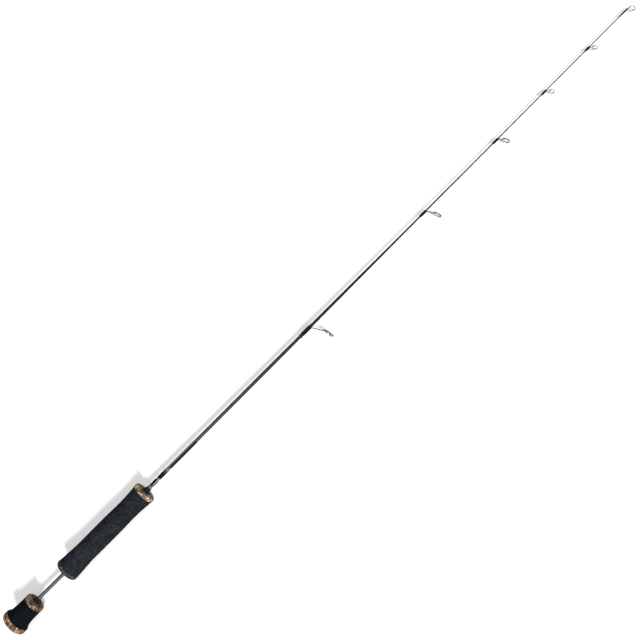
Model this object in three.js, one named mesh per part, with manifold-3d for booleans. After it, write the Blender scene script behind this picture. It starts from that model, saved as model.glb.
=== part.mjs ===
// A solid-blank ice fishing rod with a split foam grip, lying at rest on its side.
// Millimetres, +Z up, +X towards the tip. Stations are distances from the butt face along the rod.
import * as THREE from 'three';
import { mergeVertices } from 'three/addons/utils/BufferGeometryUtils.js';
import Module from 'manifold-3d';

const wasm = await Module();
wasm.setup();

// Overall and grip dimensions
const BLANK_START = 1.5;
const BLANK_END = 705.4;
const BUTT_RING = { name: 'butt_cap_ring', start: 0, end: 5.1, radius: 11.1, rearRim: 1.5, frontRim: 0.3 };
const KNOB_FOAM = { name: 'knob_foam', start: 5.4, end: 22.9 };
const KNOB_RING = { name: 'knob_front_ring', start: 23.2, end: 26.8, radius: 8.5, rearRim: 0.3, frontRim: 1.2 };
const KNOB_CHECK = { name: 'knob_check', start: 26.6, end: 30.2, radius: 3.5, tipRadius: 1.95 };
const REAR_RING = { name: 'grip_rear_ring', start: 61.1, end: 64.2, radius: 10.1, rearRim: 1.2, frontRim: 0.3 };
const GRIP_FOAM = { name: 'grip_foam', start: 64.5, end: 149.3 };
const FRONT_RING = { name: 'grip_front_ring', start: 149.6, end: 152.5, radius: 9.7, rearRim: 0.3, frontRim: 1.2 };
const GRIP_CHECK = { name: 'grip_check', start: 152.3, end: 156.4, radius: 4.3, tipRadius: 2.0 };

// Each check sits in a shallow recess in its ring's front face
const RECESS = { depth: 0.5, clearance: 0.3 };

// Outlines as [station, radius], smoothed by a spline
const KNOB_WAIST = [[5.4, 10.7], [8, 9.4], [12.5, 8.75], [18, 8.5], [22.9, 8.4]];
const GRIP_WAIST = [
  [64.5, 9.95], [73, 9.35], [84, 8.8], [104, 8.85], [118, 8.78], [130, 8.48], [140, 8.84], [149.3, 9.55],
];
const BLANK_TAPER = [
  [BLANK_START, 1.5], [156, 1.5], [215, 1.46], [300, 1.42], [330, 1.3], [350, 1.25], [400, 1.02],
  [450, 0.76], [480, 0.68], [530, 0.59], [560, 0.54], [615, 0.48], [664, 0.45], [BLANK_END, 0.42],
];

// Thread wraps and coatings that circle the blank and cover no foot
const WRAP_WALL = 0.3;
const TRIM_WALL = 0.34;
const SLEEVE_WALL = 0.15;
const TIP_WALL = 0.18;

// Thread over a foot is thicker and sits off centre, towards the foot
const FOOT_WRAP = { wall: 0.45, shift: 0.2, ramp: 0.28 };
const KEEPER_WRAP = { wall: 0.5, shift: 0.28 };

// Hook keeper: a wire staple whose two feet lie under thread
const KEEPER = {
  turn: THREE.MathUtils.degToRad(-40),
  wire: 0.28,
  rearFoot: 156.9,
  rearRise: 158.6,
  frontRise: 167.0,
  frontFoot: 171.5,
  shoulder: 0.8,
  height: 1.4,
};

// Single-foot guides, largest first. ringHeight is from the blank's centreline to the ring's centre.
const GUIDES = [
  { wrap: [331.6, 341.7], leg: 341.4, ringX: 348.0, ringHeight: 17.7, ringRadius: 5.15, lean: 14 },
  { wrap: [467.1, 474.6], leg: 474.2, ringX: 477.2, ringHeight: 11.2, ringRadius: 3.75, lean: 18 },
  { wrap: [550.5, 557.4], leg: 556.3, ringX: 558.9, ringHeight: 7.2, ringRadius: 3.4, lean: 27 },
  { wrap: [606.7, 612.6], leg: 611.0, ringX: 613.7, ringHeight: 5.0, ringRadius: 2.65, lean: 24 },
  { wrap: [657.0, 662.6], leg: 660.7, ringX: 663.5, ringHeight: 4.4, ringRadius: 2.65, lean: 35 },
];
const FOOT_THICKNESS = 0.35;
const FRAME_BAND = 0.42;
const INSERT_WALL = 0.6;
const BAND_WIDTH = 1.0;

// Tip-top: a sleeve on the end of the blank with a ring leaning forward
const TIP_TOP = {
  start: 698.6, end: 706.0, sleeveRadius: 0.68, ringX: 707.4, ringHeight: 3.0, ringRadius: 3.25, lean: 45,
};
const TIP_WRAP = [696.6, 698.3];

// Clearances and facets
const BORE_GAP = 0.1;
const SEAT_GAP = 0.3;
const GRIP_SIDES = 28;
const BLANK_SIDES = 16;
const RING_SIDES = 24;

// Materials
function finish(color, roughness, metalness = 0) {
  return new THREE.MeshStandardMaterial({ color, roughness, metalness });
}
const CARBON = finish(0x3a3d40, 0.3, 0.1);
const GRIP_EVA = finish(0x24292d, 0.9);
const KNOB_EVA = finish(0x15191b, 0.85);
const BURL = finish(0x9a7350, 0.75);
const CHECK_RUBBER = finish(0x1b1b1d, 0.6);
const BLACK_THREAD = finish(0x101113, 0.2);
const RED_THREAD = finish(0x7a2230, 0.25);
const CLEAR_COAT = finish(0x4a4c50, 0.15);
const WIRE_STEEL = finish(0xb4b8bc, 0.25, 1);
const FRAME_STEEL = finish(0x8d9296, 0.3, 1);
const INSERT_STEEL = finish(0xc4c8cc, 0.15, 1);

// A profile of [station, radius] points turned about the rod's axis
function turned(profile, sides) {
  const points = profile.map(([station, radius]) => new THREE.Vector2(radius, station));
  const geometry = new THREE.LatheGeometry(points, sides);
  geometry.rotateZ(-Math.PI / 2);
  return geometry;
}

function toSolid(geometry) {
  const bare = geometry.clone();
  bare.deleteAttribute('normal');
  bare.deleteAttribute('uv');
  const merged = mergeVertices(bare, 1e-4);
  const vertProperties = Float32Array.from(merged.attributes.position.array);
  const triVerts = Uint32Array.from(merged.index.array);
  return new wasm.Manifold(new wasm.Mesh({ numProp: 3, vertProperties, triVerts }));
}

function toGeometry(solid) {
  const mesh = solid.getMesh();
  const geometry = new THREE.BufferGeometry();
  geometry.setAttribute('position', new THREE.BufferAttribute(mesh.vertProperties, 3));
  geometry.setIndex(new THREE.BufferAttribute(mesh.triVerts, 1));
  geometry.computeVertexNormals();
  return geometry;
}

function named(name, geometry, material) {
  const mesh = new THREE.Mesh(geometry, material);
  mesh.name = name;
  return mesh;
}

// The blank's radius at a station, straight between the taper's points
function blankRadius(station) {
  const next = BLANK_TAPER.findIndex(([x]) => x >= station);
  if (next <= 0) return BLANK_TAPER[0][1];
  const [x0, r0] = BLANK_TAPER[next - 1];
  const [x1, r1] = BLANK_TAPER[next];
  return THREE.MathUtils.mapLinear(station, x0, x1, r0, r1);
}

function boreRadius(start, end) {
  return Math.max(blankRadius(start), blankRadius(end)) + BORE_GAP;
}

// A tube outline from an outer edge of [station, radius] points and a straight bore
function withBore(outer, bore) {
  const start = outer[0][0];
  const end = outer[outer.length - 1][0];
  return [[start, bore], ...outer, [end, bore], [start, bore]];
}

function smoothed(points, divisions) {
  const spline = new THREE.SplineCurve(points.map(([x, r]) => new THREE.Vector2(x, r)));
  return spline.getPoints(divisions).map((p) => [p.x, p.y]);
}

// Outer edge of a ring with both rims rounded
function rimmed({ start, end, radius, rearRim, frontRim }) {
  const edge = new THREE.Path();
  edge.moveTo(start, radius - rearRim);
  edge.absarc(start + rearRim, radius - rearRim, rearRim, Math.PI, Math.PI / 2, true);
  edge.absarc(end - frontRim, radius - frontRim, frontRim, Math.PI / 2, 0, true);
  return edge.getPoints(2).map((p) => [p.x, p.y]);
}

function makeBlank() {
  const taper = [[BLANK_START, 0], ...BLANK_TAPER, [BLANK_END, 0]];
  return named('blank', turned(taper, BLANK_SIDES), CARBON);
}

// The butt ring's bore is blind, so that its rear face is whole
function makeButtRing() {
  const floor = BLANK_START - SEAT_GAP;
  const bore = boreRadius(BUTT_RING.start, BUTT_RING.end);
  const edge = rimmed(BUTT_RING);
  const profile = [[BUTT_RING.start, 0], ...edge, [BUTT_RING.end, bore], [floor, bore], [floor, 0]];
  return named(BUTT_RING.name, turned(profile, GRIP_SIDES), BURL);
}

function makeRing(ring) {
  const profile = withBore(rimmed(ring), boreRadius(ring.start, ring.end));
  return named(ring.name, turned(profile, GRIP_SIDES), BURL);
}

function makeCheckedRing(ring, check) {
  const bore = boreRadius(ring.start, ring.end);
  const floor = ring.end - RECESS.depth;
  const wall = check.radius + RECESS.clearance;
  const recess = [[ring.end, wall], [floor, wall], [floor, bore]];
  const profile = [[ring.start, bore], ...rimmed(ring), ...recess, [ring.start, bore]];
  return named(ring.name, turned(profile, GRIP_SIDES), BURL);
}

function makeFoam(foam, waist, divisions, material) {
  const profile = withBore(smoothed(waist, divisions), boreRadius(foam.start, foam.end));
  return named(foam.name, turned(profile, GRIP_SIDES), material);
}

// A winding check flares from the blank to its seat in the ring behind it
function makeCheck({ name, start, end, radius, tipRadius }) {
  const flare = new THREE.QuadraticBezierCurve(
    new THREE.Vector2(start + 0.6, radius),
    new THREE.Vector2(start + 1.0, tipRadius + 0.5),
    new THREE.Vector2(end, tipRadius),
  );
  const outer = [[start, radius], ...flare.getPoints(5).map((p) => [p.x, p.y])];
  return named(name, turned(withBore(outer, boreRadius(start, end)), GRIP_SIDES), CHECK_RUBBER);
}

// Thread or coating with softened ends
function coating(start, end, wall, soft) {
  const bore = boreRadius(start, end);
  const edge = bore + 0.4 * wall;
  const outer = [[start, edge], [start + soft, bore + wall], [end - soft, bore + wall], [end, edge]];
  return turned(withBore(outer, bore), BLANK_SIDES);
}

// A flat strip swept along a curve in the guide's plane
function strip(path, width, thickness) {
  const section = new THREE.Shape();
  section.moveTo(-width / 2, -thickness / 2);
  section.lineTo(width / 2, -thickness / 2);
  section.lineTo(width / 2, thickness / 2);
  section.lineTo(-width / 2, thickness / 2);
  section.closePath();
  return new THREE.ExtrudeGeometry(section, { steps: 14, bevelEnabled: false, extrudePath: path });
}

// Moves a ring turned about the rod's axis to its place on a guide, leaning towards the tip
function placeRing(geometry, { ringX, ringHeight, lean }) {
  geometry.rotateZ(THREE.MathUtils.degToRad(lean));
  geometry.translate(ringX, -ringHeight, 0);
  return geometry;
}

function ringBand(guide) {
  const inner = guide.ringRadius - FRAME_BAND;
  const half = BAND_WIDTH / 2;
  const chamfer = 0.15;
  const outer = [
    [-half, guide.ringRadius - chamfer], [-half + chamfer, guide.ringRadius],
    [half - chamfer, guide.ringRadius], [half, guide.ringRadius - chamfer],
  ];
  return placeRing(turned(withBore(outer, inner), RING_SIDES), guide);
}

function ringInsert(guide) {
  const outer = guide.ringRadius - FRAME_BAND - BORE_GAP;
  const centre = outer - INSERT_WALL / 2;
  const circle = new THREE.EllipseCurve(0, centre, 0.6, INSERT_WALL / 2, 0, -2 * Math.PI, true);
  const profile = circle.getPoints(6).map((p) => [p.x, p.y]);
  return placeRing(turned(profile, RING_SIDES), guide);
}

// The route of the foot and leg: along the blank from the toe, round a bend, and up to the ring's band
function legRoute(guide, toe) {
  const seat = blankRadius(guide.wrap[0]) + BORE_GAP + FOOT_THICKNESS / 2;
  const lean = THREE.MathUtils.degToRad(guide.lean);
  const reach = guide.ringRadius - FRAME_BAND / 2;
  const rim = new THREE.Vector3(
    guide.ringX - reach * Math.sin(lean), -guide.ringHeight + reach * Math.cos(lean), 0,
  );
  const heel = new THREE.Vector3(guide.leg, -seat, 0);
  const bend = Math.min(0.9, 0.4 * heel.distanceTo(rim));
  const bendStart = new THREE.Vector3(guide.leg - bend, -seat, 0);
  const bendEnd = heel.clone().lerp(rim, bend / heel.distanceTo(rim));
  const route = new THREE.CurvePath();
  route.add(new THREE.LineCurve3(new THREE.Vector3(toe, -seat, 0), bendStart));
  route.add(new THREE.QuadraticBezierCurve3(bendStart, heel, bendEnd));
  route.add(new THREE.LineCurve3(bendEnd, rim));
  return route;
}

function footWidth(guide) {
  return THREE.MathUtils.clamp(blankRadius(guide.leg), 0.8, 1.2);
}

// The foot starts where its wrap has reached its full thickness
function footToe({ wrap: [start, end] }) {
  return start + FOOT_WRAP.ramp * (end - start) + SEAT_GAP;
}

function guideFrame(guide) {
  const leg = toSolid(strip(legRoute(guide, footToe(guide)), footWidth(guide), FOOT_THICKNESS));
  const band = toSolid(ringBand(guide));
  return toGeometry(leg.add(band));
}

// A solid cylinder that fits the blank's clearance bore
function boreCore(start, end) {
  const bore = boreRadius(start, end);
  return toSolid(turned([[start - 1, 0], [start - 1, bore], [end + 1, bore], [end + 1, 0]], BLANK_SIDES));
}

// Thread that covers a guide's foot and lets its leg out
function footWrap(guide) {
  const [start, end] = guide.wrap;
  const full = boreRadius(start, end) + FOOT_WRAP.wall;
  const ramp = start + FOOT_WRAP.ramp * (end - start);
  const profile = [
    [start, 0], [start, full - 0.25], [ramp, full], [end - 0.5, full], [end, full - 0.25], [end, 0],
  ];
  const body = turned(profile, BLANK_SIDES);
  body.translate(0, -FOOT_WRAP.shift, 0);
  const route = legRoute(guide, footToe(guide) - SEAT_GAP);
  const tunnel = toSolid(strip(route, footWidth(guide) + 2 * BORE_GAP, FOOT_THICKNESS + 2 * BORE_GAP));
  return toGeometry(toSolid(body).subtract(boreCore(start, end)).subtract(tunnel));
}

function makeGuides(rod) {
  GUIDES.forEach((guide, index) => {
    const label = `guide_${index + 1}`;
    rod.add(named(`${label}_frame`, guideFrame(guide), FRAME_STEEL));
    rod.add(named(`${label}_insert`, ringInsert(guide), INSERT_STEEL));
    rod.add(named(`${label}_wrap`, footWrap(guide), BLACK_THREAD));
  });
  rod.add(named('guide_1_trim', coating(329.4, 331.3, TRIM_WALL, 0.2), RED_THREAD));
}

function makeTipTop(rod) {
  const bore = boreRadius(TIP_TOP.start, BLANK_END);
  const inside = BLANK_END + SEAT_GAP;
  const sleeve = turned([
    [TIP_TOP.start, bore], [TIP_TOP.start, TIP_TOP.sleeveRadius], [TIP_TOP.end, TIP_TOP.sleeveRadius],
    [TIP_TOP.end + 0.3, 0], [inside, 0], [inside, bore], [TIP_TOP.start, bore],
  ], RING_SIDES);
  const ring = toSolid(ringBand(TIP_TOP));
  rod.add(named('tip_top_frame', toGeometry(toSolid(sleeve).add(ring)), FRAME_STEEL));
  rod.add(named('tip_top_insert', ringInsert(TIP_TOP), INSERT_STEEL));
  rod.add(named('tip_top_wrap', coating(TIP_WRAP[0], TIP_WRAP[1], TIP_WALL, 0.3), BLACK_THREAD));
}

// The keeper's feet run along the blank, and its wire stands clear of it between them
function makeKeeper() {
  const seat = blankRadius(KEEPER.rearFoot) + BORE_GAP + KEEPER.wire;
  const pull = seat + (4 / 3) * KEEPER.height;
  const at = (station, height) => new THREE.Vector3(station, -height, 0);
  const route = new THREE.CurvePath();
  route.add(new THREE.LineCurve3(at(KEEPER.rearFoot, seat), at(KEEPER.rearRise, seat)));
  route.add(new THREE.CubicBezierCurve3(
    at(KEEPER.rearRise, seat), at(KEEPER.rearRise + KEEPER.shoulder, pull),
    at(KEEPER.frontRise - KEEPER.shoulder, pull), at(KEEPER.frontRise, seat),
  ));
  route.add(new THREE.LineCurve3(at(KEEPER.frontRise, seat), at(KEEPER.frontFoot, seat)));
  const section = new THREE.Shape();
  section.absarc(0, 0, KEEPER.wire, 0, 2 * Math.PI);
  const options = { steps: 24, curveSegments: 6, bevelEnabled: false, extrudePath: route };
  return new THREE.ExtrudeGeometry(section, options);
}

// Thread over a keeper foot, with a channel for the wire
function keeperWrap(start, end) {
  const full = boreRadius(start, end) + KEEPER_WRAP.wall;
  const profile = [
    [start, 0], [start, full - 0.15], [start + 0.3, full], [end - 0.3, full], [end, full - 0.15], [end, 0],
  ];
  const body = turned(profile, BLANK_SIDES);
  body.translate(0, -KEEPER_WRAP.shift, 0);
  const seat = blankRadius(KEEPER.rearFoot) + BORE_GAP + KEEPER.wire;
  const channelRadius = KEEPER.wire + BORE_GAP;
  const channelStart = Math.max(start, KEEPER.rearFoot) - SEAT_GAP;
  const channelEnd = Math.min(end, KEEPER.frontFoot) + SEAT_GAP;
  const channel = new THREE.CylinderGeometry(channelRadius, channelRadius, channelEnd - channelStart, 12);
  channel.rotateZ(Math.PI / 2);
  channel.translate((channelStart + channelEnd) / 2, -seat, 0);
  return toGeometry(toSolid(body).subtract(boreCore(start, end)).subtract(toSolid(channel)));
}

const rod = new THREE.Group();
rod.add(makeBlank());
rod.add(makeButtRing());
rod.add(makeFoam(KNOB_FOAM, KNOB_WAIST, 8, KNOB_EVA));
rod.add(makeCheckedRing(KNOB_RING, KNOB_CHECK));
rod.add(makeCheck(KNOB_CHECK));
rod.add(makeRing(REAR_RING));
rod.add(makeFoam(GRIP_FOAM, GRIP_WAIST, 14, GRIP_EVA));
rod.add(makeCheckedRing(FRONT_RING, GRIP_CHECK));
rod.add(makeCheck(GRIP_CHECK));
rod.add(named('label_sleeve', coating(179.6, 209.6, SLEEVE_WALL, 0.5), CLEAR_COAT));
makeGuides(rod);
makeTipTop(rod);

const keeper = new THREE.Group();
keeper.rotation.x = KEEPER.turn;
keeper.add(named('hook_keeper', makeKeeper(), WIRE_STEEL));
keeper.add(named('keeper_rear_wrap', keeperWrap(156.8, 158.5), CLEAR_COAT));
keeper.add(named('keeper_rear_trim', coating(159.4, 161.0, TRIM_WALL, 0.2), RED_THREAD));
keeper.add(named('keeper_centre_wrap', coating(161.3, 165.4, WRAP_WALL, 0.3), BLACK_THREAD));
keeper.add(named('keeper_front_wrap', keeperWrap(167.6, 173.8), BLACK_THREAD));
keeper.add(named('keeper_front_trim', coating(174.1, 176.1, TRIM_WALL, 0.2), RED_THREAD));
keeper.add(named('keeper_front_coat', coating(176.4, 178.5, WRAP_WALL, 0.8), CLEAR_COAT));
rod.add(keeper);

// At rest the rod bears on the grip's front ring, the first guide's ring and the tip-top's ring.
// sin(roll) puts the three bearing depths below the axis on one line, and that line sets the slope.
const [firstGuide] = GUIDES;
const bearing = FRONT_RING.end - FRONT_RING.frontRim;
const reach = TIP_TOP.ringX - bearing;
const share = (firstGuide.ringX - bearing) / reach;
const lineDepth = FRONT_RING.radius * (1 - share) + TIP_TOP.ringRadius * share;
const rollSine = (lineDepth - firstGuide.ringRadius) / (firstGuide.ringHeight - TIP_TOP.ringHeight * share);
const tipDepth = TIP_TOP.ringHeight * rollSine + TIP_TOP.ringRadius;
rod.rotation.x = Math.asin(rollSine);

const object = new THREE.Group();
const pitched = new THREE.Group();
pitched.rotation.y = Math.asin((FRONT_RING.radius - tipDepth) / reach);
pitched.add(rod);
object.add(pitched);

// The origin is at the middle of the footprint, on the surface that the rod lies on
object.updateMatrixWorld(true);
const box = new THREE.Box3().setFromObject(object, true);
pitched.position.set(-(box.min.x + box.max.x) / 2, -(box.min.y + box.max.y) / 2, -box.min.z);

export default object;
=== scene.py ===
"""Looks of an ice fishing rod: foam and burl cork grips, carbon blank, thread wraps, guides and tip-top.

Shapes are built in millimetres in the rod's own frame, [station, height, side]: along the rod from its butt
face, out towards the guides, and across them. The frame's nodes say where that is in the row's frame.
"""
import math

import bpy
import numpy as np
from mathutils import Matrix, Vector, noise


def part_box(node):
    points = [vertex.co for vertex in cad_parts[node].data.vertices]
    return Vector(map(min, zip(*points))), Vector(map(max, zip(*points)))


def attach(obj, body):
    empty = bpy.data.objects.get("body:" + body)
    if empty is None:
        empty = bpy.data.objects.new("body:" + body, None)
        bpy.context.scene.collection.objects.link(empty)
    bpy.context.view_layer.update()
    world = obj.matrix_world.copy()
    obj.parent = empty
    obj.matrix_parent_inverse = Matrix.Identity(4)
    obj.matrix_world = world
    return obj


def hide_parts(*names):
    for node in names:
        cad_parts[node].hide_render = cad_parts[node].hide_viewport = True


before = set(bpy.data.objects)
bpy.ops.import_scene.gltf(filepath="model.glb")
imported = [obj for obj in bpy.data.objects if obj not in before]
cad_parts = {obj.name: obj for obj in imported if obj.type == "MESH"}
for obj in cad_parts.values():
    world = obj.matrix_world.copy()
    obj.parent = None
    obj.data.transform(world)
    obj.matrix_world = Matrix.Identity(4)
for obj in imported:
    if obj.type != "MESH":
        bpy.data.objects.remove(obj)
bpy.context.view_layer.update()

# One millimetre in the row's metres
MM = 0.001


# ---------------------------------------------------------------- the rod's own frame

def middle(node):
    low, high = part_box(node)
    return (Vector(low) + Vector(high)) / 2


AXIS = (middle("tip_top_wrap") - middle("butt_cap_ring")).normalized()
REACH = middle("guide_1_insert") - middle("butt_cap_ring")
GUIDE = (REACH - AXIS * REACH.dot(AXIS)).normalized()
SIDE = AXIS.cross(GUIDE)
TURN = np.array([AXIS, GUIDE, SIDE])


def vertices(node):
    return np.array([v.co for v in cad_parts[node].data.vertices])


ON_AXIS = np.array(middle("butt_cap_ring"))
BUTT = ON_AXIS + np.array(AXIS) * ((vertices("butt_cap_ring") - ON_AXIS) @ np.array(AXIS)).min()


def local(node):
    """A CAD node's vertices in the rod's frame, in millimetres."""
    return (vertices(node) - BUTT) @ TURN.T / MM


def span(node):
    """The stations where a CAD node starts and ends."""
    stations = local(node)[:, 0]
    return stations.min(), stations.max()


def radii(node):
    """How far each of a CAD node's vertices is from the rod's axis."""
    points = local(node)
    return np.hypot(points[:, 1], points[:, 2])


def outline(node):
    """The outer [station, radius] points of a turned node, from butt to tip."""
    widest = {}
    for station, radius in zip(local(node)[:, 0], radii(node)):
        key = round(float(station), 1)
        widest[key] = max(widest.get(key, 0.0), float(radius))
    return sorted(widest.items())


BLANK_LINE = np.array(outline("blank"))


def blank_radius(station):
    return float(np.interp(station, BLANK_LINE[:, 0], BLANK_LINE[:, 1]))


def ring_place(node):
    """Centre and axis of a ring that leans on the rod, and its inner and outer radius."""
    points = local(node)
    centre = (points.min(0) + points.max(0)) / 2
    normal = np.linalg.svd(points - centre)[2][2]
    normal *= math.copysign(1, normal[0])
    along = (points - centre) @ normal
    radius = np.linalg.norm(points - centre - np.outer(along, normal), axis=1)
    return centre, normal, radius.min(), radius.max()


# ---------------------------------------------------------------- meshes

# Edges that bend by more than this many degrees stay sharp
SHARP_EDGE = 40


def solid_mesh(name, points, faces):
    """A mesh from points in the rod's frame. Its faces are turned to point out."""
    points = np.array(points)
    volume = 0
    for face in faces:
        for a, b in zip(face[1:], face[2:]):
            volume += np.dot(points[face[0]], np.cross(points[a], points[b]))
    if volume < 0:
        faces = [face[::-1] for face in faces]
    mesh = bpy.data.meshes.new(name)
    mesh.from_pydata((points @ TURN * MM + BUTT).tolist(), [], faces)
    return mesh


def store_place(mesh):
    """Keeps each vertex's place in the rod's frame, in millimetres, for the materials."""
    world = np.array([v.co for v in mesh.vertices])
    attribute = mesh.attributes.new("rod", "FLOAT_VECTOR", "POINT")
    attribute.data.foreach_set("vector", ((world - BUTT) @ TURN.T / MM).ravel())


def make_piece(name, shells, material, nodes):
    """One piece that stands for CAD nodes. Its [points, faces] shells are joined into one skin."""
    piece = bpy.data.objects.new(name, solid_mesh(name, *shells[0]))
    bpy.context.scene.collection.objects.link(piece)
    for shell in shells[1:]:
        join(piece, solid_mesh(name + "_part", *shell))
    mesh = piece.data
    mesh.shade_smooth()
    mesh.set_sharp_from_angle(angle=math.radians(SHARP_EDGE))
    mesh.materials.clear()
    mesh.materials.append(material)
    store_place(mesh)
    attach(piece, "root")
    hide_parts(*nodes)
    return piece


def join(piece, mesh):
    """Adds a mesh to the piece, with the faces where they overlap cut away."""
    other = bpy.data.objects.new("part", mesh)
    bpy.context.scene.collection.objects.link(other)
    union = piece.modifiers.new("union", "BOOLEAN")
    union.operation = "UNION"
    union.solver = "EXACT"
    union.object = other
    joined = piece.evaluated_get(bpy.context.evaluated_depsgraph_get())
    joined_mesh = bpy.data.meshes.new_from_object(joined)
    piece.modifiers.clear()
    piece.data = joined_mesh
    bpy.data.objects.remove(other)


def loft(sections, closed=False):
    """Points and faces of a skin over equal sections. An open loft gets a cap on each end."""
    count = len(sections[0])
    rows = len(sections)
    faces = []
    for row in range(rows if closed else rows - 1):
        a = row * count
        b = (row + 1) % rows * count
        for k in range(count):
            n = (k + 1) % count
            faces.append((a + k, a + n, b + n, b + k))
    if not closed:
        faces.append(tuple(range(count - 1, -1, -1)))
        faces.append(tuple((rows - 1) * count + k for k in range(count)))
    return np.concatenate(sections), faces


def circle(station, radius, sides):
    angles = np.linspace(0, 2 * math.pi, sides, endpoint=False)
    return np.column_stack([np.full(sides, station), radius * np.cos(angles), radius * np.sin(angles)])


def turned(profile, sides, closed=True):
    """A [station, radius] profile turned about the rod's axis."""
    return loft([circle(station, radius, sides) for station, radius in profile], closed)


def smoothed(points, step):
    """A Catmull-Rom line through the points, with a point about every step."""
    points = np.array(points, float)
    before = [2 * points[0] - points[1]]
    after = [2 * points[-1] - points[-2]]
    knots = np.concatenate([before, points, after])
    line = []
    for a, b, c, d in zip(knots, knots[1:], knots[2:], knots[3:]):
        for t in np.arange(0, 1, 1 / max(1, round(np.linalg.norm(c - b) / step))):
            bend = 2 * a - 5 * b + 4 * c - d + t * (3 * (b - c) + d - a)
            line.append(b + 0.5 * t * (c - a + t * bend))
    return [*line, points[-1]]


def dense(points, step):
    """The same outline with a point about every step."""
    line = []
    for a, b in zip(points, points[1:]):
        a, b = np.array(a, float), np.array(b, float)
        for t in np.arange(0, 1, 1 / max(1, round(np.linalg.norm(b - a) / step))):
            line.append(a + (b - a) * t)
    return [*line, np.array(points[-1], float)]


def arc(centre, radius, start, end, count=7):
    """Points of an arc from one angle to another, in degrees."""
    angles = np.radians(np.linspace(start, end, count))
    return [(centre[0] + radius * math.cos(a), centre[1] + radius * math.sin(a)) for a in angles]


def rounded_edge(start, end, radius, rear_rim, front_rim):
    """The outer edge of a turned body, with both rims rounded."""
    return [
        *arc((start + rear_rim, radius - rear_rim), rear_rim, 180, 90),
        *arc((end - front_rim, radius - front_rim), front_rim, 90, 0),
    ]


def swept(path, across, shape):
    """A skin along a path in the plane square to across.

    shape(t) is its [across, up] outline, with t from 0 at the start of the path to 1 at its end.
    """
    path = np.array(path)
    tangents = np.gradient(path, axis=0)
    steps = np.linalg.norm(np.diff(path, axis=0), axis=1)
    lengths = np.concatenate([[0], np.cumsum(steps)])
    sections = []
    for point, tangent, length in zip(path, tangents, lengths):
        up = np.cross(tangent / np.linalg.norm(tangent), across)
        outline_points = np.array(shape(length / lengths[-1]))
        sections.append(point + outline_points @ np.array([across, up]))
    return loft(sections)


def oval(width, thickness, power=2.0):
    """A closed outline. Power 2 is an ellipse, and a higher power is nearer to a box."""
    angles = np.linspace(0, 2 * math.pi, 20, endpoint=False)
    c, s = np.cos(angles), np.sin(angles)
    return np.column_stack([
        width / 2 * np.sign(c) * np.abs(c) ** (2 / power),
        thickness / 2 * np.sign(s) * np.abs(s) ** (2 / power),
    ])


def moved(points, depth):
    """The points moved out from the rod's axis by depth(point) millimetres."""
    result = np.array(points)
    for row in result:
        radius = math.hypot(row[1], row[2])
        if radius > 0:
            row[1:] *= 1 + depth(Vector(row)) / radius
    return result


def smoothstep(value):
    value = min(max(value, 0.0), 1.0)
    return value * value * (3 - 2 * value)


# ---------------------------------------------------------------- materials

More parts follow.
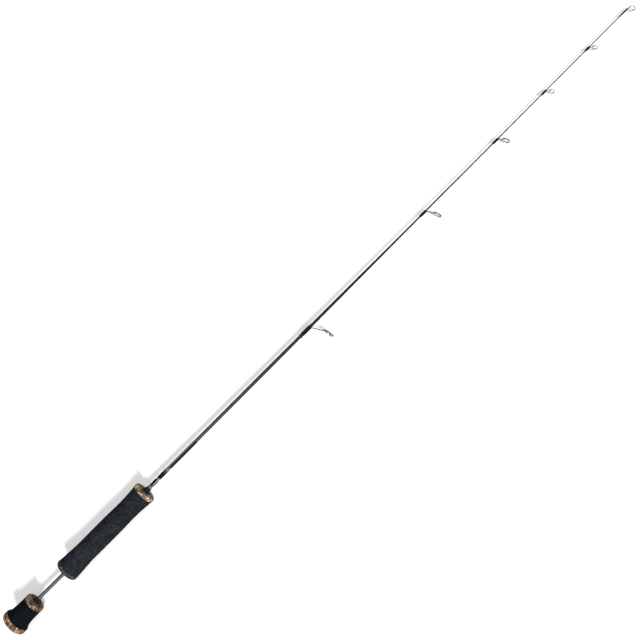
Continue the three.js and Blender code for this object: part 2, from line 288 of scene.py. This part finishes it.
class Paint:
    """A Principled material with short calls that add nodes to it. Scales are per millimetre of the rod."""

    def __init__(self, name, **values):
        self.material = bpy.data.materials.new(name)
        self.material.use_nodes = True
        self.tree = self.material.node_tree
        self.shader = self.tree.nodes["Principled BSDF"]
        self.set(**values)
        place = self.tree.nodes.new("ShaderNodeAttribute")
        place.attribute_name = "rod"
        self.place = place.outputs["Vector"]

    def put(self, socket, value):
        if isinstance(value, bpy.types.NodeSocket):
            self.tree.links.new(value, socket)
        elif socket.type == "RGBA":
            socket.default_value = (*value[:3], 1)
        else:
            socket.default_value = value

    def set(self, **values):
        for key, value in values.items():
            self.put(self.shader.inputs[key.replace("_", " ")], value)

    def node(self, kind, output=0, settings=None, **inputs):
        node = self.tree.nodes.new("ShaderNode" + kind)
        for key, value in (settings or {}).items():
            setattr(node, key, value)
        for key, value in inputs.items():
            self.put(node.inputs[key.replace("_", " ")], value)
        return node.outputs[output]

    def math(self, operation, a, b=0.0):
        node = self.tree.nodes.new("ShaderNodeMath")
        node.operation = operation
        self.put(node.inputs[0], a)
        self.put(node.inputs[1], b)
        return node.outputs[0]

    def vector(self, operation, a, b):
        node = self.tree.nodes.new("ShaderNodeVectorMath")
        node.operation = operation
        self.put(node.inputs[0], a)
        self.put(node.inputs[1], b)
        return node.outputs[0]

    def mix(self, factor, a, b, blend="MIX"):
        node = self.tree.nodes.new("ShaderNodeMix")
        node.data_type = "RGBA"
        node.blend_type = blend
        self.put(node.inputs[0], factor)
        self.put(node.inputs[6], a)
        self.put(node.inputs[7], b)
        return node.outputs[2]

    def ramp(self, factor, stops, interpolation="LINEAR"):
        node = self.tree.nodes.new("ShaderNodeValToRGB")
        node.color_ramp.interpolation = interpolation
        elements = node.color_ramp.elements
        while len(elements) < len(stops):
            elements.new(0.5)
        for element, (position, colour) in zip(elements, stops):
            element.position = position
            element.color = (*colour, 1)
        self.put(node.inputs[0], factor)
        return node.outputs[0]

    def noise(self, scale, detail=2.0, vector=None, roughness=0.5):
        place = self.place if vector is None else vector
        return self.node("TexNoise", Vector=place, Scale=scale, Detail=detail, Roughness=roughness)

    def cells(self, scale, output="Distance", vector=None, feature="F1"):
        place = self.place if vector is None else vector
        return self.node("TexVoronoi", output, {"feature": feature}, Vector=place, Scale=scale)

    def stretched(self, along, around):
        """The rod's coordinates scaled along the rod and across it."""
        return self.vector("MULTIPLY", self.place, (along, around, around))

    def station(self):
        return self.node("SeparateXYZ", Vector=self.place)

    def height(self):
        return self.node("SeparateXYZ", 1, Vector=self.place)

    def side(self):
        return self.node("SeparateXYZ", 2, Vector=self.place)

    def across(self, turn):
        """1 along the line turned this many degrees from the guides, and 0 on the far side of the rod."""
        angle = self.math("ARCTAN2", self.side(), self.height())
        nearness = self.math("COSINE", self.math("SUBTRACT", angle, math.radians(turn)))
        return self.node("MapRange", Value=nearness, From_Min=-1.0, From_Max=1.0)

    def relief(self, height, depth, under=None):
        """Bump of depth millimetres, laid over an earlier bump if one is given."""
        inputs = {"Height": height, "Distance": depth * MM}
        if under is not None:
            inputs["Normal"] = under
        return self.node("Bump", **inputs)


def grey(value):
    return (value, value, value)


RESIN = (0.018, 0.010, 0.007)
CORK_BROWNS = [
    (0.0, (0.010, 0.006, 0.004)), (0.18, (0.07, 0.038, 0.022)), (0.34, (0.25, 0.145, 0.078)),
    (0.5, (0.42, 0.27, 0.16)), (0.62, (0.09, 0.048, 0.028)), (0.74, (0.68, 0.52, 0.375)), (0.88, RESIN),
]
CHIPS_PER_MM = 0.74
FLECKS_PER_MM = 2.0

# How far along the rod, in millimetres, the stops of the blank's tone reach
TONE_LENGTH = 706.0


def foam_paint(name, dark, light, pore_depth):
    """Closed-cell EVA: mottled cells, small pores darkened by painted shade in their hollows, a few pale
    specks and a broad slow change of tone.
    """
    paint = Paint(name, Roughness=0.85, Specular_IOR_Level=0.04)
    mottle = paint.noise(0.42, 4, roughness=0.75)
    cells = paint.cells(1.9)
    tone = paint.ramp(mottle, [(0.31, dark), (0.69, light)])
    # Painted shade: the colour is darker in the pores' hollows
    pores = paint.ramp(cells, [(0.08, grey(0.35)), (0.3, grey(1.0))])
    specks = paint.ramp(paint.cells(0.42), [(0.12, grey(1.6)), (0.3, grey(1.0))])
    slow = paint.ramp(paint.noise(0.07, 2), [(0.3, grey(0.8)), (0.7, grey(1.15))])
    colour = tone
    for layer in (pores, specks, slow):
        colour = paint.mix(1.0, colour, layer, "MULTIPLY")
    bump = paint.relief(cells, pore_depth, paint.relief(mottle, 2 * pore_depth))
    paint.set(Base_Color=colour, Normal=bump)
    return paint.material


def burl_paint(name, shade, shift):
    """Granulated cork: chips of many browns, small flecks between them and dark resin seams.

    shade is how light the ring is drawn: partly its own tone, and partly painted light that makes a ring
    lighter or darker for how it is lit. shift is where in the cork it was cut.
    """
    paint = Paint(name, Roughness=0.75, Specular_IOR_Level=0.08)
    place = paint.vector("ADD", paint.place, (0.0, shift, 0.0))
    warp = paint.node("TexNoise", "Color", Vector=place, Scale=0.9, Detail=3.0)
    bent = paint.vector("ADD", place, paint.vector("MULTIPLY", warp, (1.1, 1.1, 1.1)))
    browns = [(stop, tuple(min(1.0, shade * c) for c in colour)) for stop, colour in CORK_BROWNS]

    def granules(scale):
        """A brown picked at random for each cell."""
        pick = paint.node("SeparateColor", Color=paint.cells(scale, "Color", bent))
        return paint.ramp(pick, browns, "CONSTANT")

    seams = paint.cells(CHIPS_PER_MM, "Distance", bent, "DISTANCE_TO_EDGE")
    grain = paint.noise(4.0, 3)
    colour = paint.mix(0.4, granules(CHIPS_PER_MM), granules(FLECKS_PER_MM))
    colour = paint.mix(paint.ramp(seams, [(0.04, grey(0.85)), (0.12, grey(0.0))]), colour, RESIN)
    colour = paint.mix(1.0, colour, paint.ramp(grain, [(0.3, grey(0.75)), (0.7, grey(1.2))]), "MULTIPLY")
    bump = paint.relief(seams, 0.25, paint.relief(grain, 0.08))
    paint.set(Base_Color=colour, Normal=bump)
    return paint.material


def blank_paint():
    """Carbon under clear coat: fibres along it, a silvery butt section and a darker tip, with painted shade
    and a painted highlight in lengthwise strips set by their angle round the rod.
    """
    paint = Paint("carbon_blank", Roughness=0.4, Specular_IOR_Level=0.03, Coat_Weight=0.02,
                  Coat_Roughness=0.14)
    fibres = paint.noise(1.0, 3, paint.stretched(0.25, 5.0))
    tone = paint.ramp(paint.math("DIVIDE", paint.station(), TONE_LENGTH), [
        (0.05, (0.060, 0.065, 0.070)), (0.2, (0.046, 0.049, 0.053)), (0.31, (0.033, 0.036, 0.040)),
        (0.42, (0.018, 0.020, 0.022)), (0.54, (0.009, 0.010, 0.011)), (1.0, (0.003, 0.003, 0.004)),
    ])
    grain = paint.ramp(fibres, [(0.3, grey(0.7)), (0.7, grey(1.3))])
    turns = paint.noise(1.0, 1, paint.stretched(3.0, 0.2))
    # Painted shade and highlight: darker and lighter lengthwise strips round the rod, set by their angle from
    # the guides, multiplied into the fibres' grain
    painted_shade_and_highlight = paint.ramp(paint.across(38), [
        (0.0, grey(0.3)), (0.06, grey(0.1)), (0.26, grey(0.1)), (0.36, grey(1.0)), (0.48, grey(1.5)),
        (0.60, grey(0.95)), (0.75, grey(1.1)), (0.92, grey(0.8)), (1.0, grey(0.6)),
    ])
    grain = paint.mix(1.0, grain, painted_shade_and_highlight, "MULTIPLY")
    paint.set(Base_Color=paint.mix(1.0, tone, grain, "MULTIPLY"))
    paint.set(Normal=paint.relief(turns, 0.01))
    return paint.material


def thread_paint(name, dark, light):
    """Winding thread under epoxy: fine turns, each a little different, below a clear coat. The colour is
    darker towards the grooves between turns, a painted shade.
    """
    paint = Paint(name, Roughness=0.4, Specular_IOR_Level=0.05, Coat_Weight=0.03, Coat_Roughness=0.08)
    turn = paint.math("PINGPONG", paint.math("MULTIPLY", paint.station(), 5.0), 0.5)
    jitter = paint.noise(1.0, 2, paint.stretched(6.0, 0.5))
    # Painted shade: each turn is darker towards the grooves between turns; jitter makes each turn a little
    # different
    shade = paint.math("MULTIPLY", paint.math("ADD", turn, 0.4), paint.math("ADD", jitter, 0.4))
    paint.set(Base_Color=paint.ramp(shade, [(0.15, dark), (0.75, light)]))
    paint.set(Normal=paint.relief(turn, 0.03))
    paint.set(Coat_Normal=paint.relief(paint.noise(0.6, 2), 0.06))
    return paint.material


def coat_paint(name, dark, light, coat, panel=None):
    """Clear epoxy over the grey blank and its fibres. panel is the colour of the side towards the guides."""
    paint = Paint(name, Roughness=0.3, Specular_IOR_Level=0.04, Coat_Weight=coat, Coat_Roughness=0.05)
    fibres = paint.noise(1.0, 3, paint.stretched(0.3, 4.0))
    colour = paint.ramp(fibres, [(0.3, dark), (0.7, light)])
    if panel:
        edge = paint.math("ADD", paint.height(), paint.math("MULTIPLY", fibres, 0.3))
        colour = paint.mix(paint.node("MapRange", Value=edge, From_Min=0.5, From_Max=0.9), colour, panel)
    paint.set(Base_Color=colour, Coat_Normal=paint.relief(paint.noise(0.5, 2), 0.03))
    return paint.material


def rubber_paint():
    """Black rubber with a thin greyer film in patches."""
    paint = Paint("check_rubber", Roughness=0.5, Specular_IOR_Level=0.06)
    grain = paint.noise(2.2, 4)
    dust = paint.noise(0.5, 3)
    tone = paint.ramp(grain, [(0.3, (0.002, 0.002, 0.003)), (0.7, (0.006, 0.007, 0.008))])
    film = paint.ramp(dust, [(0.45, grey(0.0)), (0.75, grey(0.25))])
    paint.set(Base_Color=paint.mix(film, tone, (0.012, 0.014, 0.017)))
    paint.set(Normal=paint.relief(grain, 0.03))
    return paint.material


def metal_paint(name, dark, light, smooth, rough, scratch, edge=1.0):
    """Steel with fine scratches, its gloss between smooth and rough. edge scales its shine seen edge on."""
    paint = Paint(name, Metallic=1.0, Specular_Tint=grey(edge))
    marks = paint.noise(3.0, 4)
    wear = paint.noise(0.8, 2)
    paint.set(Base_Color=paint.ramp(wear, [(0.3, dark), (0.7, light)]))
    paint.set(Roughness=paint.node("MapRange", Value=marks, To_Min=smooth, To_Max=rough))
    paint.set(Normal=paint.relief(marks, scratch))
    return paint.material


def floor_paint():
    """The white top of a light table: frosted, and evenly lit from below as well as by the lamps."""
    paint = Paint("floor", Roughness=0.9, Specular_IOR_Level=0.1, Emission_Color=(1.0, 0.995, 0.985))
    paint.set(Emission_Strength=0.24)
    cloud = paint.noise(3.0, 3, paint.node("TexCoord", "Object"))
    paint.set(Base_Color=paint.ramp(cloud, [(0.3, grey(0.605)), (0.7, grey(0.615))]))
    return paint.material


GRIP_FOAM = foam_paint("grip_foam", (0.001, 0.0013, 0.002), (0.0150, 0.0178, 0.0225), pore_depth=0.10)
KNOB_FOAM = foam_paint("knob_foam", (0.0008, 0.0014, 0.0018), (0.0032, 0.0046, 0.006), pore_depth=0.05)
BLANK = blank_paint()
BLACK_THREAD = thread_paint("black_thread", (0.0006, 0.0008, 0.0008), (0.0035, 0.0045, 0.0045))
RED_THREAD = thread_paint("red_thread", (0.010, 0.001, 0.003), (0.055, 0.007, 0.014))
CLEAR_COAT = coat_paint("clear_coat", (0.06, 0.058, 0.06), (0.10, 0.096, 0.10), coat=0.3)
LABEL_COAT = coat_paint("label_coat", (0.070, 0.074, 0.080), (0.105, 0.111, 0.118), coat=0.02,
                        panel=(0.004, 0.005, 0.007))
RUBBER = rubber_paint()
WIRE = metal_paint("keeper_wire", (0.42, 0.425, 0.43), (0.52, 0.525, 0.53),
                   smooth=0.26, rough=0.34, scratch=0.004)
FRAME_STEEL = metal_paint("guide_frame", (0.030, 0.032, 0.035), (0.055, 0.057, 0.060),
                          smooth=0.22, rough=0.38, scratch=0.006, edge=0.1)
# The small guides and tip-top get a lighter copy of the same steel: painted light, for how brightly their
# thin frames and rings catch the light
SMALL_STEEL = metal_paint("small_guide_steel", (0.46, 0.465, 0.47), (0.58, 0.585, 0.59),
                          smooth=0.2, rough=0.34, scratch=0.005)
INSERT_STEEL = metal_paint("guide_insert", (0.46, 0.465, 0.47), (0.58, 0.585, 0.59),
                           smooth=0.06, rough=0.16, scratch=0.003)


# ---------------------------------------------------------------- grips

# Millimetres. Foam and cork each grow this far into the gap between their CAD nodes, as they are glued
SEAM = 0.14
# How far a bore comes inside its CAD bore, so that no light shows between it and the blank
BORE_LAP = 0.08
# The hollow in a ring's front face that its check sits in, and the room round the check in it
RECESS_DEPTH = 0.5
RECESS_ROOM = 0.3
# The blind socket in the butt ring that the blank ends in
SOCKET_RADIUS = 1.6
SOCKET_FLOOR = 1.3
# The radius at which a turned skin is capped, instead of on the axis itself
PINHOLE = 0.05


def foam_depth(point):
    """Small hollows and swellings left by grinding the foam to shape."""
    return 0.05 * noise.noise(point * 0.35) + 0.025 * noise.noise(point * 1.3)


def burl_depth(point):
    """Sanded chips with open pits between some of them."""
    pit = noise.noise(point * 0.8 + Vector((7, 3, 1)))
    grain = noise.noise(point * 2.2)
    return -0.03 + 0.03 * grain - 0.3 * smoothstep((pit - 0.33) / 0.25)


def foam_grip(node, material):
    """A waisted grip with its rims cut off at a slant."""
    start, end = span(node)
    start -= SEAM
    end += SEAM
    bore = radii(node).min() - BORE_LAP
    waist = smoothed(outline(node), 0.45)
    rim = 0.35
    rear = (start, waist[0][1] - rim)
    front = (end, waist[-1][1] - rim)
    edge = [rear, *[p for p in waist if start + rim < p[0] < end - rim], front]
    profile = [*dense([(start, bore), rear], 0.8), *edge, *dense([front, (end, bore)], 0.8)]
    points, faces = turned(profile, 150)
    piece = make_piece(node + "_shape", [(moved(points, foam_depth), faces)], material, [node])


def burl_ring(node, shade, rear_rim, front_rim, check=None, blind=False):
    """A ring of cork, glued to foam on its less rounded side. A blind ring is closed at the rear.

    check is the node that sits in a shallow hollow in the ring's front face.
    """
    start, end = span(node)
    if rear_rim < front_rim:
        start -= SEAM
    else:
        end += SEAM
    bore = SOCKET_RADIUS if blind else radii(node).min() - BORE_LAP
    edge = rounded_edge(start, end, radii(node).max(), rear_rim, front_rim)
    rear = [(start, PINHOLE if blind else bore), edge[0]]
    front = [edge[-1], (end, bore)]
    if check:
        recess = radii(check).max() + RECESS_ROOM
        floor = end - RECESS_DEPTH
        front = [edge[-1], (end, recess), (floor, recess), (floor, bore)]
    profile = [*dense(rear, 0.3), *dense(edge, 0.3)[1:], *dense(front, 0.3)[1:]]
    if blind:
        profile += [(start + SOCKET_FLOOR, bore)]
    points, faces = turned(profile, 220, closed=not blind)
    paint = burl_paint(node + "_burl", shade, 5 * start)
    make_piece(node + "_shape", [(moved(points, burl_depth), faces)], paint, [node])


def check_cone(node):
    """A winding check: a rolled seat, a concave flare and a small lip against the blank."""
    start, end = span(node)
    line = outline(node)
    wide, slim = line[0][1], line[-1][1]
    bore = radii(node).min() - 0.09
    flare = smoothed([(s, r) for s, r in line if s > start + 0.3], 0.2)
    seat = arc((start + 0.3, wide - 0.3), 0.3, 150, 30, 5)
    lip = arc((end - 0.15, slim - 0.12), 0.15, 60, -30, 4)
    flare = [tuple(p) for p in flare if p[0] > start + 0.75]
    profile = [(start, bore), (start, wide - 0.2), *seat, *flare, *lip, (end, bore)]
    make_piece(node + "_shape", [turned(profile, 72)], RUBBER, [node])


foam_grip("grip_foam", GRIP_FOAM)
foam_grip("knob_foam", KNOB_FOAM)
# Each ring's shade is partly its own tone and partly painted light: lighter or darker for how that ring is
# lit
burl_ring("butt_cap_ring", shade=0.67, rear_rim=1.5, front_rim=0.4, blind=True)
burl_ring("knob_front_ring", shade=0.60, rear_rim=0.4, front_rim=1.2, check="knob_check")
burl_ring("grip_rear_ring", shade=0.26, rear_rim=1.2, front_rim=0.4)
burl_ring("grip_front_ring", shade=1.10, rear_rim=0.4, front_rim=1.2, check="grip_check")
check_cone("knob_check")
check_cone("grip_check")


# ---------------------------------------------------------------- blank and its coatings

# How thick a coating is at its very ends, in millimetres
FEATHER = 0.04
# The inside of a coating, as a share of the blank's radius
COAT_CORE = 0.97


def make_blank():
    line = [(float(s), float(r)) for s, r in BLANK_LINE if r > 0.1]
    profile = [(line[0][0], PINHOLE), *dense(line, 4.0), (line[-1][0], PINHOLE)]
    make_piece("blank_shape", [turned(profile, 40, closed=False)], BLANK, ["blank"])


def coating(name, node, wall, soft, material, bump=None, slant=0.0):
    """Thread or resin round the blank. soft is how long its ends taper, and slant shears its ends.

    bump is (angle, height, width, start, end): a ridge where a foot or wire lies underneath.
    """
    start, end = span(node)
    sides = 48
    angles = np.linspace(0, 2 * math.pi, sides, endpoint=False)
    outer, inner = [], []
    for share in np.linspace(0, 1, max(6, round((end - start) / 0.25))):
        station = start + share * (end - start)
        rise = math.sqrt(max(0.0, smoothstep(min(station - start, end - station) / soft)))
        sheared = station + slant * np.cos(angles)
        base = np.array([blank_radius(s) for s in sheared])
        thickness = FEATHER + (wall - FEATHER) * rise + np.zeros(sides)
        if bump:
            angle, height, width, bump_start, bump_end = bump
            off = (angles - angle + math.pi) % (2 * math.pi) - math.pi
            lift = smoothstep((station - bump_start) / 0.8) * smoothstep((bump_end - station) / 0.4 + 1)
            thickness += height * lift * np.exp(-((off / width) ** 2)) * rise
        radius = base + thickness
        outer.append(np.column_stack([sheared, radius * np.cos(angles), radius * np.sin(angles)]))
        core = base * COAT_CORE
        inner.append(np.column_stack([sheared, core * np.cos(angles), core * np.sin(angles)]))
    points, faces = loft([*outer, *inner[::-1]], closed=True)
    make_piece(name, [(points, faces)], material, [node])


def plane_of(angle):
    """The unit vectors out from the rod at that angle about it, and across."""
    return np.array([0, math.cos(angle), math.sin(angle)]), np.array([0, -math.sin(angle), math.cos(angle)])


def bezier(a, b, c, d, count):
    t = np.linspace(0, 1, count)[:, None]
    return a * (1 - t) ** 3 + 3 * b * t * (1 - t) ** 2 + 3 * c * t ** 2 * (1 - t) + d * t ** 3


KEEPER_MIDDLE = local("hook_keeper").mean(0)
KEEPER_ANGLE = math.atan2(KEEPER_MIDDLE[2], KEEPER_MIDDLE[1])
KEEPER_START, KEEPER_END = span("hook_keeper")


def make_keeper():
    """A wire staple: a foot at each end under thread, and between them an arch that a hook hangs on."""
    out, across = plane_of(KEEPER_ANGLE)
    points = local("hook_keeper")
    start, end = KEEPER_START, KEEPER_END
    rises = points @ out
    foot = rises[points[:, 0] < start + 0.1]
    wire = (foot.max() - foot.min()) / 2
    seat = (foot.max() + foot.min()) / 2
    # A Bezier arch rises to 3/4 of its handles
    pull = seat + (rises.max() - wire - seat) * 4 / 3
    rear = span("keeper_rear_wrap")[1] + 0.1
    front = span("keeper_front_wrap")[0] - 0.6
    shoulder = 0.8

    def at(station, rise):
        return np.array([station, 0, 0]) + out * rise

    arch = bezier(at(rear, seat), at(rear + shoulder, pull), at(front - shoulder, pull), at(front, seat), 40)
    path = [at(start, seat), at((start + rear) / 2, seat), *arch, at((front + end) / 2, seat), at(end, seat)]
    shell = swept(path, across, lambda t: oval(2 * wire, 2 * wire))
    make_piece("hook_keeper_wire", [shell], WIRE, ["hook_keeper"])


def thread_band(name, node, wall, soft, bump=None):
    """A wrap of black thread."""
    coating(name, node, wall, soft, BLACK_THREAD, bump)


def red_band(name, node):
    """A narrow wrap of red thread."""
    coating(name, node, 0.4, 0.35, RED_THREAD)


def epoxy(name, node, wall, soft, bump=None):
    """A coat of clear resin."""
    coating(name, node, wall, soft, CLEAR_COAT, bump)


def make_keeper_wraps():
    """From rear to front. The keeper's feet make a ridge under the first coat and under the front thread."""
    ridge = (KEEPER_ANGLE, 0.42, 0.5)
    rear_ridge = (*ridge, KEEPER_START - 1, KEEPER_END)
    front_ridge = (*ridge, KEEPER_START, KEEPER_END)
    epoxy("keeper_rear_coat", "keeper_rear_wrap", wall=0.32, soft=0.5, bump=rear_ridge)
    red_band("keeper_rear_band", "keeper_rear_trim")
    thread_band("keeper_centre_thread", "keeper_centre_wrap", wall=0.38, soft=0.6)
    thread_band("keeper_front_thread", "keeper_front_wrap", wall=0.36, soft=0.7, bump=front_ridge)
    red_band("keeper_front_band", "keeper_front_trim")
    epoxy("keeper_front_epoxy", "keeper_front_coat", wall=0.36, soft=1.3)


make_blank()
make_keeper()
make_keeper_wraps()
coating("label_sleeve_coat", "label_sleeve", 0.22, 0.8, LABEL_COAT, slant=0.9)
red_band("guide_1_band", "guide_1_trim")


# ---------------------------------------------------------------- guides and tip-top

ACROSS = np.array([0.0, 0.0, 1.0])

# The band round a ring's insert, in millimetres: the gap between them, its wall, width and rim
BAND_GAP = 0.05
BAND_WALL = 0.38
BAND_WIDTH = 0.8
BAND_RIM = 0.18
RING_SIDES = 96


def leaned(profile, centre, normal):
    """A closed [along, radius] profile turned about a leaning ring's own axis."""
    up = np.cross(ACROSS, normal)
    angles = np.linspace(0, 2 * math.pi, RING_SIDES, endpoint=False)
    spokes = np.outer(np.cos(angles), up) + np.outer(np.sin(angles), ACROSS)
    return loft([centre + along * normal + radius * spokes for along, radius in profile], closed=True)


def ring_band(centre, normal, insert_radius):
    """The band round an insert of that outer radius."""
    inner = insert_radius + BAND_GAP
    outer = inner + BAND_WALL
    half = BAND_WIDTH / 2
    edge = rounded_edge(-half, half, outer, BAND_RIM, BAND_RIM)
    return leaned([(-half, inner), *edge, (half, inner)], centre, normal)


def ring_insert(node, steel):
    """A polished ring whose lips roll over both faces of its band."""
    centre, normal, inner, outer = ring_place(node)
    half_wall = (outer - inner) / 2
    along = (local(node) - centre) @ normal
    half_width = (along.max() - along.min()) / 2
    lip = 0.03
    profile = []
    for angle in np.linspace(0, 2 * math.pi, 20, endpoint=False):
        c = math.cos(angle)
        flat = math.copysign(abs(c) ** 0.8, c)
        profile.append((half_width * flat, inner + half_wall + (half_wall + lip) * math.sin(angle)))
    make_piece(node + "_ring", [leaned(profile, centre, normal)], steel, [node])


def leg_path(frame_node, wrap_end, rim):
    """From the foot's toe along the blank, round the heel and up to the ring's rim."""
    points = local(frame_node)
    under = points[:, 1].min()
    foot = points[points[:, 1] < under + 0.4]
    low = foot[foot[:, 0] < wrap_end - 1.0]
    seat = (low[:, 1].max() + low[:, 1].min()) / 2
    thickness = low[:, 1].max() - low[:, 1].min()
    width = low[:, 2].max() - low[:, 2].min()
    toe = low[:, 0].min()
    heel = np.array([wrap_end - 0.25, seat, 0.0])
    leg = rim - heel
    bend = min(0.9, 0.4 * np.linalg.norm(leg))
    before = heel - np.array([bend, 0, 0])
    after = heel + leg / np.linalg.norm(leg) * bend
    # Handles this share of the way to the heel make the bend a parabola
    pull = 2 / 3
    curve = bezier(before, before + (heel - before) * pull, after + (heel - after) * pull, after, 14)
    start = np.array([toe, seat, 0.0])
    flat = [start + (before - start) * t for t in np.linspace(0, 1, 8)[:-1]]
    rise = [after + (rim - after) * t for t in np.linspace(0, 1, 16)[1:]]
    return np.array([*flat, *curve, *rise]), width, thickness


def make_guide(number):
    label = f"guide_{number}"
    centre, normal, _, outer = ring_place(label + "_insert")
    rim = centre - np.cross(ACROSS, normal) * (outer + BAND_GAP + BAND_WALL / 2)
    start, end = span(label + "_wrap")
    path, width, thickness = leg_path(label + "_frame", end, rim)

    def section(t):
        """Ground thin at the toe, a little thicker along the leg, and spread where it meets the ring."""
        ground = 0.45 + 0.55 * smoothstep(t / 0.12)
        spread = 1 + 0.7 * smoothstep((t - 0.82) / 0.18)
        rib = 0.18 * smoothstep((t - 0.38) / 0.1)
        return oval(width * spread * (0.6 + 0.4 * ground), thickness * ground + rib, power=3.2)

    shells = [swept(path, ACROSS, section), ring_band(centre, normal, outer)]
    # Guides 4 and 5 use the lighter copy of the steel, painted light
    frame_steel, insert_steel = (FRAME_STEEL, INSERT_STEEL) if number < 4 else (SMALL_STEEL, SMALL_STEEL)
    make_piece(label + "_frame_shape", shells, frame_steel, [label + "_frame"])
    ring_insert(label + "_insert", insert_steel)
    lift = path[0][1] + thickness / 2 - blank_radius((start + end) / 2) - 0.25
    foot_ridge = (0.0, lift, 0.6, path[0][0] - 0.6, end)
    soft = 1.2 if number == 1 else 0.8
    thread_band(label + "_thread", label + "_wrap", wall=0.44, soft=soft, bump=foot_ridge)


def make_tip_top():
    """A dark tube over the tip, closed in front by a shoulder that carries the leaning ring."""
    points = local("tip_top_frame")
    start = points[:, 0].min()
    centre, normal, _, outer = ring_place("tip_top_insert")
    near = points[points[:, 0] < start + 0.2]
    radius = np.hypot(near[:, 1], near[:, 2]).max()
    end = span("blank")[1] + 0.6
    bore = blank_radius(end) - 0.02
    pinhole = 0.06
    rear = arc((start + 0.1, radius - 0.1), 0.1, 180, 90, 4)
    front = arc((end - 0.35, radius - 0.35), 0.35, 90, 8, 6)
    tube = [(start, pinhole), (start, bore), *rear, (end - 0.5, radius), *front, (end, pinhole)]
    tube_shell = turned(tube, 40, closed=False)
    band_shell = ring_band(centre, normal, outer)
    make_piece("tip_top_tube", [tube_shell], BLACK_THREAD, ["tip_top_frame"])
    make_piece("tip_top_band", [band_shell], SMALL_STEEL, ["tip_top_frame"])
    ring_insert("tip_top_insert", SMALL_STEEL)
    thread_band("tip_top_thread", "tip_top_wrap", wall=0.26, soft=0.5)


for guide_number in range(1, 6):
    make_guide(guide_number)
make_tip_top()


# ---------------------------------------------------------------- floor, light and camera

def make_floor():
    mesh = bpy.data.meshes.new("floor")
    half = 4
    corners = [(-half, -half, 0), (half, -half, 0), (half, half, 0), (-half, half, 0)]
    mesh.from_pydata(corners, [], [(0, 1, 2, 3)])
    mesh.materials.append(floor_paint())
    floor = bpy.data.objects.new("floor", mesh)
    bpy.context.scene.collection.objects.link(floor)


def make_world(zenith, horizon, lean):
    """A soft dome, brightest overhead. lean says how much brighter it is towards +X and +Y."""
    world = bpy.data.worlds.new("studio")
    world.use_nodes = True
    bpy.context.scene.world = world
    tree = world.node_tree
    place = tree.nodes.new("ShaderNodeTexCoord")
    split = tree.nodes.new("ShaderNodeSeparateXYZ")
    ramp = tree.nodes.new("ShaderNodeValToRGB")
    ramp.color_ramp.elements[0].color = (*horizon, 1)
    ramp.color_ramp.elements[0].position = 0.15
    ramp.color_ramp.elements[1].color = (*zenith, 1)
    ramp.color_ramp.elements[1].position = 0.75
    side = tree.nodes.new("ShaderNodeVectorMath")
    side.operation = "DOT_PRODUCT"
    side.inputs[1].default_value = (*lean, 0.0)
    strength = tree.nodes.new("ShaderNodeMath")
    strength.operation = "ADD"
    strength.inputs[1].default_value = 1.0
    tree.links.new(place.outputs["Generated"], split.inputs[0])
    tree.links.new(split.outputs["Z"], ramp.inputs[0])
    tree.links.new(place.outputs["Generated"], side.inputs[0])
    tree.links.new(side.outputs["Value"], strength.inputs[0])
    tree.links.new(ramp.outputs[0], tree.nodes["Background"].inputs["Color"])
    tree.links.new(strength.outputs[0], tree.nodes["Background"].inputs["Strength"])


def aimed(azimuth, elevation):
    """The direction towards a lamp. Azimuth is counted from +X towards +Y."""
    a, e = math.radians(azimuth), math.radians(elevation)
    return Vector((math.cos(a) * math.cos(e), math.sin(a) * math.cos(e), math.sin(e)))


def add_light(data, towards, distance):
    light = bpy.data.objects.new(data.name, data)
    light.location = towards * distance
    light.rotation_euler = towards.to_track_quat("Z", "Y").to_euler()
    bpy.context.scene.collection.objects.link(light)
    return light


def make_lamp(name, azimuth, elevation, width, strength):
    """A round lamp far off, width degrees across, that glossy surfaces don't show."""
    data = bpy.data.lights.new(name, "SUN")
    data.angle = math.radians(width)
    data.energy = strength
    add_light(data, aimed(azimuth, elevation), 1.0).visible_glossy = False


def make_softbox(azimuth, elevation, distance, size, power):
    """A large panel that shows in glossy surfaces and lights nothing else."""
    data = bpy.data.lights.new("softbox", "AREA")
    data.shape = "RECTANGLE"
    data.size, data.size_y = size
    data.energy = power
    add_light(data, aimed(azimuth, elevation), distance).visible_diffuse = False


def make_camera():
    """Looks down on the rod from the side of the guides, rolled so that the rod runs corner to corner."""
    elevation = math.radians(44.2)
    roll = math.radians(45.06)
    distance = 709.6 * MM
    back = Vector((0, -math.cos(elevation), math.sin(elevation)))
    back = (back - AXIS * back.dot(AXIS)).normalized()
    drop = (GUIDE - back * GUIDE.dot(back)).normalized()
    right = AXIS * math.cos(roll) + drop * math.sin(roll)
    up = AXIS * math.sin(roll) - drop * math.cos(roll)
    # The picture is centred on this point beside the middle of the rod
    target = Vector(BUTT) + AXIS * 350.7 * MM + drop * 1.85 * MM
    data = bpy.data.cameras.new("camera")
    data.lens = 49.2
    data.sensor_width = 36
    camera = bpy.data.objects.new("camera", data)
    place = Matrix((right, up, back)).transposed().to_4x4()
    place.translation = target + back * distance
    camera.matrix_world = place
    bpy.context.scene.collection.objects.link(camera)
    bpy.context.scene.camera = camera


make_floor()
make_world(zenith=(0.62, 0.61, 0.60), horizon=(0.18, 0.18, 0.18), lean=(0.5, -0.6))
make_lamp("key", azimuth=269, elevation=30, width=8, strength=5.9)
make_lamp("fill", azimuth=345, elevation=38, width=50, strength=1.1)
make_softbox(azimuth=270, elevation=48, distance=1.6, size=(1.6, 0.6), power=30.0)
make_camera()
bpy.context.scene.view_settings.view_transform = "Standard"
